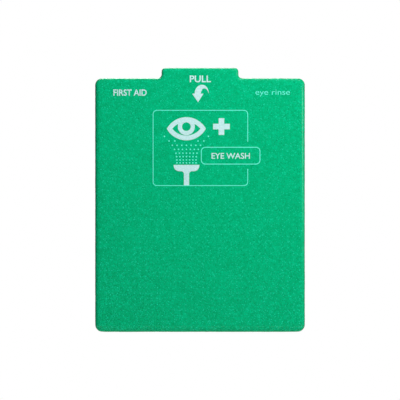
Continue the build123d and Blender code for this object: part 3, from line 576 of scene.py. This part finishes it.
def facingDisc(pieceName, x, z, radius, depth=inkWork["depth"], sides=96):
    # a disc whose face lies on the foam and whose depth goes into it
    deselectAll()
    bpy.ops.mesh.primitive_cylinder_add(vertices=sides, radius=radius * mm, depth=depth,
                                        location=at(x, z) + Vector((0, depth / 2, 0)),
                                        rotation=(math.radians(90), 0, 0))
    piece = newest(pieceName)
    applyPlace(piece)
    return piece


signFrame = {"left": -51.6, "right": 52.5, "low": 160.0, "high": 242.9, "corner": 4.4, "line": 0.8,
             "gapLow": 178.6, "gapHigh": 208.2, "gapReach": 4.0}
pill = {"left": 1.0, "right": 65.9, "low": 183.4, "high": 202.6, "corner": 4.8, "line": 0.9}


def outlineFrame(pieceName, look):
    piece = facingPlane(pieceName, look["left"], look["right"], look["low"], look["high"])
    roundCorners(piece, look["corner"] * mm)
    openFrame(piece, look["line"] * mm)
    thicken(piece)
    return piece


frameLine = outlineFrame("signFrame", signFrame)
gapLeft, gapRight = signFrame["right"] - signFrame["gapReach"], signFrame["right"] + signFrame["gapReach"]
gap = facingPlane("signGap", gapLeft, gapRight, signFrame["gapLow"], signFrame["gapHigh"])
thicken(gap, signFrame["gapReach"] * mm, 0.0)
cut(frameLine, gap)
ink(frameLine, inkMint)
ink(outlineFrame("signPill", pill), inkMint)


eye = {"x": -14.9, "z": 222.4, "halfWidth": 21.3, "sagitta": 12.6, "openHalfWidth": 15.3, "openSagitta": 7.4,
       "iris": 9.3, "pupil": 4.75, "irisLift": 2.3, "sides": 160}


def lens(pieceName, halfWidth, sagitta, depth):
    # the almond shape that two equal circles share
    radius = (halfWidth ** 2 + sagitta ** 2) / (2 * sagitta)
    drop = radius - sagitta
    upper = facingDisc(pieceName, eye["x"], eye["z"] - drop, radius, depth, eye["sides"])
    lower = facingDisc("lensLower", eye["x"], eye["z"] + drop, radius, depth, eye["sides"])
    cut(upper, lower, "INTERSECT")
    return upper


def cutThrough(piece, cutter):
    # the cutter is three times as deep as the ink, so it stands out at the front and at the back
    cutter.location.y -= inkWork["depth"]
    applyPlace(cutter)
    cut(piece, cutter)


def makeEye():
    through = 3 * inkWork["depth"]
    height = eye["z"] + eye["irisLift"]
    lid = lens("signEye", eye["halfWidth"], eye["sagitta"], inkWork["depth"])
    cutThrough(lid, lens("eyeOpening", eye["openHalfWidth"], eye["openSagitta"], through))
    cut(lid, facingDisc("eyeIris", eye["x"], height, eye["iris"]), "UNION")
    cutThrough(lid, facingDisc("eyePupil", eye["x"], height, eye["pupil"], through))
    ink(lid)


makeEye()


cross = {"x": 23.4, "z": 224.8, "arm": 18.2, "bar": 6.1}


def edgeMiddle(piece, edge):
    first, second = edge.vertices
    return (piece.data.vertices[first].co + piece.data.vertices[second].co) / 2


def makeCross(pieceName, place, bar, reach):
    # a square whose four edges are drawn out into arms
    half = bar / 2
    piece = facingPlane(pieceName, place[0] - half, place[0] + half, place[1] - half, place[1] + half)
    middle = at(*place)
    for step in (Vector((1, 0, 0)), Vector((-1, 0, 0)), Vector((0, 0, 1)), Vector((0, 0, -1))):
        side = middle + step * half * mm
        editOnly(piece, "edges", lambda edge: (edgeMiddle(piece, edge) - side).length < 0.1 * mm)
        bpy.ops.mesh.extrude_region_move(TRANSFORM_OT_translate={"value": step * reach * mm})
        endEditing()
    return piece


crossPiece = makeCross("signCross", (cross["x"], cross["z"]), cross["bar"], (cross["arm"] - cross["bar"]) / 2)
thicken(crossPiece)
ink(crossPiece)


spray = {"x": -14.8, "low": 185.2, "rise": 3.05, "spread": 0.155, "pitch": 3.47, "fan": 0.0038, "drop": 0.85,
         "rows": 8, "columns": 3, "innermost": {6: 2, 7: 3}, "sides": 10}


def makeSpray():
    drops = []
    first = facingDisc("signSpray", spray["x"], spray["low"], spray["drop"], sides=spray["sides"])
    for row in range(spray["rows"]):
        height = spray["rise"] * row + spray["spread"] * row ** 2
        pitch = spray["pitch"] * (1 + spray["fan"] * row ** 3)
        for column in range(-spray["columns"], spray["columns"] + 1):
            if abs(column) < spray["innermost"].get(row, 0):
                continue
            drop = first.copy()
            drop.data = first.data.copy()
            bpy.context.scene.collection.objects.link(drop)
            drop.location = (pitch * column * mm, 0, height * mm)
            drops.append(drop)
    bpy.data.objects.remove(first)
    deselectAll()
    for drop in drops:
        drop.select_set(True)
    bpy.context.view_layer.objects.active = drops[0]
    bpy.ops.object.join()
    drops[0].name = "signSpray"
    applyPlace(drops[0])
    ink(drops[0], inkMint)


makeSpray()


nozzle = {"x": -14.7, "halfWidth": 14.0, "top": 183.0, "bowl": 7.0, "shoulder": 6.2, "halfStem": 2.85,
          "foot": signFrame["low"] + signFrame["line"],
          "flare": ((3.1, 0.9), (3.8, 0.9), (5.4, 0.9), (8.6, 0.7)), "lap": 0.8}  # half widths and rises


def makeNozzle():
    x, low = nozzle["x"], nozzle["top"] - nozzle["bowl"]
    bowl = facingPlane("signNozzle", x - nozzle["halfWidth"], x + nozzle["halfWidth"], low, nozzle["top"])
    roundCorners(bowl, nozzle["shoulder"] * mm, at(0, low + 1).z)
    thicken(bowl)
    rise = sum(step for _, step in nozzle["flare"])
    width = nozzle["halfStem"]
    stem = facingPlane("nozzleStem", x - width, x + width, nozzle["foot"], low - rise + nozzle["lap"])
    for half, step in nozzle["flare"]:
        top = max(vertex.co.z for vertex in stem.data.vertices)
        editOnly(stem, "vertices", lambda vertex: vertex.co.z > top - 0.01 * mm)
        bpy.ops.mesh.extrude_region_move(TRANSFORM_OT_translate={"value": (0, 0, step * mm)})
        bpy.ops.transform.resize(value=(half / width, 1, 1), center_override=at(x, 0))
        endEditing()
        width = half
    thicken(stem)
    cut(bowl, stem, "UNION")
    ink(bowl)


makeNozzle()


arrow = {
    # place, handle towards the point before, handle towards the point after
    "corners": [
        ((-2.1, 251.4), None, None), ((3.8, 260.7), None, None), ((1.0, 260.7), None, (0, 3.0)),
        ((4.6, 266.5), (-2.2, 0), (2.4, 0)), ((9.5, 260.6), (-0.6, 3.2), (0.1, 5.2)),
        ((2.3, 270.4), (4.4, 0), (-5.0, 0)), ((-5.8, 260.7), (0, 4.8), None), ((-8.6, 260.7), None, None),
    ],
}


def makeArrow():
    outline = bpy.data.curves.new("pullArrow", "CURVE")
    outline.dimensions = "2D"
    outline.fill_mode = "BOTH"
    outline.extrude = inkWork["depth"] / 2
    spline = outline.splines.new("BEZIER")
    spline.use_cyclic_u = True
    spline.resolution_u = inkWork["curveSteps"]
    spline.bezier_points.add(len(arrow["corners"]) - 1)
    for point, (place, before, after) in zip(spline.bezier_points, arrow["corners"]):
        here = Vector((place[0], place[1], 0)) * mm
        point.co = here
        point.handle_left_type = "VECTOR" if before is None else "FREE"
        point.handle_right_type = "VECTOR" if after is None else "FREE"
        if before is not None:
            point.handle_left = here + Vector((*before, 0)) * mm
        if after is not None:
            point.handle_right = here + Vector((*after, 0)) * mm
    piece = bpy.data.objects.new("pullArrow", outline)
    bpy.context.scene.collection.objects.link(piece)
    standUp(piece, Vector((0, inkFace + inkWork["depth"] / 2, inkBase)))
    return piece


def standUp(piece, place):
    # a flat curve or a word is made a mesh, then turned to face the room
    pick(piece)
    bpy.ops.object.convert(target="MESH")
    piece = bpy.context.object
    piece.rotation_euler = (math.radians(90), 0, 0)
    piece.location = place
    applyPlace(piece)
    return piece


ink(makeArrow())


words = {
    # text, left, right, low, high, boldness, ink
    "pullWord": ("PULL", -11.2, 11.9, 273.1, 280.5, 0.020, inkWhite),
    "pillWord": ("EYE WASH", 12.6, 54.4, 189.6, 196.0, 0.012, inkWhite),
    "cornerWord": ("FIRST AID", -94.5, -58.2, 258.4, 265.4, 0.020, inkWhite),
    "sideWord": ("eye rinse", 60.5, 98.1, 257.6, 265.0, -0.004, inkMint),
}


def makeWord(pieceName, text, left, right, low, high, bold, depth=inkWork["depth"]):
    deselectAll()
    bpy.ops.object.text_add()
    word = bpy.context.object
    word.name = pieceName
    word.data.body = text
    word.data.offset = bold
    word.data.resolution_u = inkWork["letterSteps"]
    word.data.extrude = 0.5
    bpy.ops.object.convert(target="MESH")
    word = bpy.context.object
    lows = [min(vertex.co[axis] for vertex in word.data.vertices) for axis in range(2)]
    highs = [max(vertex.co[axis] for vertex in word.data.vertices) for axis in range(2)]
    wide, tall = highs[0] - lows[0], highs[1] - lows[1]
    word.scale = ((right - left) * mm / wide, (high - low) * mm / tall, depth)
    word.rotation_euler = (math.radians(90), 0, 0)
    middle = Vector((lows[0] + wide / 2, 0, lows[1] + tall / 2)) * Vector((word.scale[0], 0, word.scale[1]))
    word.location = at((left + right) / 2, (low + high) / 2) + Vector((0, depth / 2, 0)) - middle
    applyPlace(word)
    return word


for pieceName, (*look, paint) in words.items():
    ink(makeWord(pieceName, *look), paint)
print("sign printed")


# finishes on the pieces that keep their own shape

nodePaints = {
    plateZinc: ["wall_plate", "case_bracket"],
    fastenerZinc: ["hanging_studs", "clamp_screws", "clamp_washers", "clinch_nuts", "jack_nut",
                   "hinge_pin_left", "hinge_pin_right", "flip_pin_large", "flip_pin_small"],
    rolledAluminium: ["heat_spreader", "thermostat_flange", "thermostat_rivets"],
    heaterFilm: ["heating_foil"],
    thermostatBlack: ["thermostat"],
    tinnedTags: ["thermostat_tags", "jack_contacts"],
    softRubber: ["lead_grommet"],
    blackPlastic: ["spacer_sleeves", "inlet_panel", "power_jack", "indicator_lamp"],
    lampGreen: ["indicator_lens"],
    leadRed: ["lead_jack_to_thermostat"],
    leadBlack: ["lead_heater_to_jack"],
    leadWhite: ["lead_thermostat_to_heater"],
    hingeNylon: ["case_hinge_leaf_left", "case_hinge_leaf_right",
                 "lid_hinge_leaf_left", "lid_hinge_leaf_right"],
    bottleClear: ["bottle_large", "bottle_small"],
    salineClear: ["saline_large", "saline_small"],
    cupGreen: ["eye_cup_large", "eye_cup_small"],
    dustLidGreen: ["flip_lid_large", "flip_lid_small"],
    insertWhite: ["spray_insert_large", "spray_insert_small"],
}
for paint, nodeNames in nodePaints.items():
    for nodeName in nodeNames:
        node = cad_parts[nodeName]
        node.data.materials.clear()
        node.data.materials.append(paint)
print("finishes laid on")


# bottle labels: a paper wrap round the front of each bottle, with a band, a word, a size and a cross on it

labelledBottles = {
    # where the label starts and ends, as shares of the bottle's height, and what the bottle holds
    "large": (0.19, 0.74, "500 ml"),
    "small": (0.15, 0.60, "200 ml"),
}
labels = {
    # in mm
    "gap": 0.12, "paper": 0.12, "print": 0.10, "clear": 0.02, "overBand": 0.12,
    # half the paper's angle round the bottle and what the bands leave of it at each side, in degrees
    "half": 78, "edge": 0.5, "steps": 40,
    # shares of the label's height
    "bands": {"label_band_": (0.70, 0.95), "label_foot_": (0.05, 0.13)},
    "crossHeight": 0.41, "crossPart": 0.055,
}


def bottleFacts(name):
    low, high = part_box("bottle_" + name)
    axis = Vector(((low[0] + high[0]) / 2, (low[1] + high[1]) / 2, low[2]))
    return axis, (high[0] - low[0]) / 2, high[2] - low[2]


def curvedSheet(pieceName, name, bottom, top, half, lift, thickness):
    # one upright edge, spun round the bottle's axis by half on either side of its front
    axis, radius, _ = bottleFacts(name)
    deselectAll()
    bpy.ops.mesh.primitive_plane_add(size=1, location=(0, 0, 0))
    piece = newest(pieceName)
    startEditing(piece)
    bpy.ops.mesh.merge(type="CENTER")
    bpy.ops.mesh.extrude_region_move(TRANSFORM_OT_translate={"value": (0, 0, top - bottom)})
    bpy.ops.mesh.select_all(action="SELECT")
    start = math.radians(-90 + half)  # spun clockwise, seen from above
    out = radius + lift * mm
    bpy.ops.transform.translate(value=(out * math.cos(start), out * math.sin(start), bottom))
    bpy.ops.mesh.spin(steps=labels["steps"], angle=math.radians(2 * half), center=(0, 0, 0), axis=(0, 0, 1))
    bpy.ops.mesh.select_all(action="SELECT")
    bpy.ops.mesh.remove_doubles(threshold=0.001 * mm)
    bpy.ops.mesh.normals_make_consistent(inside=False)
    endEditing()
    piece.location = axis
    applyPlace(piece)
    strip = piece.data.polygons[0]
    facesOut = strip.normal.dot(strip.center - axis - Vector((0, 0, bottom))) > 0
    thicken(piece, thickness * mm, 1.0 if facesOut else -1.0)
    return piece


def wrap(piece, name, lift):
    # rolls a flat print, drawn on the plane through the bottle's front, round the bottle
    axis, radius, _ = bottleFacts(name)
    for vertex in piece.data.vertices:
        place = vertex.co
        angle = (place.x - axis.x) / radius
        out = radius + lift * mm - (place.y - (axis.y - radius))
        vertex.co = (axis.x + out * math.sin(angle), axis.y - out * math.cos(angle), place.z)
    return piece


def labelWord(pieceName, name, text, halfWidth, bottom, top, bold):
    axis, radius, _ = bottleFacts(name)
    low = (axis.z + bottom - inkBase) / mm
    high = (axis.z + top - inkBase) / mm
    left, right = axis.x / mm - halfWidth, axis.x / mm + halfWidth
    word = makeWord(pieceName, text, left, right, low, high, bold, labels["print"] * mm)
    word.location.y = axis.y - radius - inkFace - labels["print"] * mm / 2
    applyPlace(word)
    return word


def makeLabel(name, low, high, size):
    axis, radius, height = bottleFacts(name)
    bottom, top = low * height, high * height
    tall = top - bottom
    paper = curvedSheet("label_" + name, name, bottom, top, labels["half"], labels["gap"], labels["paper"])
    smooth(paper)
    settle(paper, "case", labelWhite)
    onPaper = labels["gap"] + labels["paper"] + labels["clear"]
    for start, (first, last) in labels["bands"].items():
        band = curvedSheet(start + name, name, bottom + first * tall, bottom + last * tall,
                           labels["half"] - labels["edge"], onPaper, labels["print"])
        smooth(band)
        settle(band, "case", labelGreen)
    printLift = onPaper + labels["print"]
    printed = [
        # text, half width as a share of the radius, bottom, top, boldness, finish and lift
        ("label_word_", "EYE WASH", 0.66, 0.76, 0.89, 0.02, labelWhite, printLift + labels["overBand"]),
        ("label_content_", "sterile saline", 0.5676, 0.52, 0.62, 0.0, labelGreen, printLift),
        ("label_size_", size, 0.33, 0.20, 0.30, 0.01, labelGreen, printLift),
    ]
    for start, text, share, first, last, bold, paint, lift in printed:
        half = share * radius / mm
        word = labelWord(start + name, name, text, half, bottom + first * tall, bottom + last * tall, bold)
        settle(wrap(word, name, lift), "case", paint)
    middle = (axis.x / mm, (axis.z + bottom + labels["crossHeight"] * tall - inkBase) / mm)
    part = labels["crossPart"] * tall / mm
    mark = makeCross("label_cross_" + name, middle, part, part)
    thicken(mark, labels["print"] * mm)
    mark.location.y = axis.y - radius - inkFace
    applyPlace(mark)
    settle(wrap(mark, name, printLift), "case", labelGreen)


for name, look in labelledBottles.items():
    makeLabel(name, *look)
print("bottles labelled")


# pale floor, studio light and camera

studio = {
    "floorDrop": 0.20, "floorRadius": 1.1, "floorSides": 128, "skyLight": 0.04,
    "reach": 2.425, "lensLength": 200, "sensor": 36, "farClip": 50,
}
lights = {
    # place, size, power, tint, whether it shows in glossy surfaces
    "key": ((0.30, -0.80, 0.66), 0.34, 7.8, (0.86, 1.0, 1.12), False),
    "side": ((0.98, -0.80, 0.20), 0.45, 3.0, (0.90, 1.0, 1.08), True),
    "top": ((0.36, -0.80, 1.00), 0.45, 3.8, (0.90, 1.0, 1.08), True),
    "fill": ((-0.2, -2.2, 0.5), 1.4, 0.8, (1.0, 1.0, 0.85), False),
    "back": ((-0.3, 1.5, 1.7), 1.2, 36.0, (1.0, 1.0, 1.0), True),
}


def makeFloor():
    deselectAll()
    bpy.ops.mesh.primitive_circle_add(vertices=studio["floorSides"], radius=studio["floorRadius"],
                                      fill_type="NGON", location=(0, 0, cadLow.z - studio["floorDrop"]))
    floor = bpy.context.object
    floor.name = "studioFloor"
    applyPlace(floor)
    floor.data.materials.append(floorPale)


def makeLight(lightName, place, size, power, tint, glossy):
    deselectAll()
    bpy.ops.object.light_add(type="AREA", location=place)
    light = bpy.context.object
    light.name = lightName
    light.data.shape = "DISK"
    light.data.size = size
    light.data.energy = power
    light.data.color = tint
    light.visible_glossy = glossy
    aim = (cadLow + cadHigh) / 2 - Vector(place)
    light.rotation_euler = aim.to_track_quat("-Z", "Y").to_euler()


def makeWorld():
    # dim where it lights the object, and white where the camera sees it
    world = bpy.data.worlds.new("studioSky")
    bpy.context.scene.world = world
    world.use_nodes = True
    nodes, links = world.node_tree.nodes, world.node_tree.links
    nodes.clear()
    path = nodes.new("ShaderNodeLightPath")
    either = nodes.new("ShaderNodeMixShader")
    output = nodes.new("ShaderNodeOutputWorld")
    links.new(path.outputs["Is Camera Ray"], either.inputs[0])
    for place, strength in ((1, studio["skyLight"]), (2, 1.0)):
        background = nodes.new("ShaderNodeBackground")
        background.inputs["Color"].default_value = (1, 1, 1, 1)
        background.inputs["Strength"].default_value = strength
        links.new(background.outputs[0], either.inputs[place])
    links.new(either.outputs[0], output.inputs["Surface"])


def makeCamera():
    deselectAll()
    height = (cadLow.z + cadHigh.z) / 2
    place = (0, cadLow.y - studio["reach"], height)
    bpy.ops.object.camera_add(location=place, rotation=(math.radians(90), 0, 0))
    camera = bpy.context.object
    camera.data.lens = studio["lensLength"]
    camera.data.sensor_width = studio["sensor"]
    camera.data.clip_end = studio["farClip"]
    bpy.context.scene.camera = camera


makeFloor()
for lightName, look in lights.items():
    makeLight(lightName, *look)
makeWorld()
makeCamera()
bpy.context.scene.view_settings.view_transform = "Standard"
bpy.context.scene.view_settings.look = "None"
print("studio set")
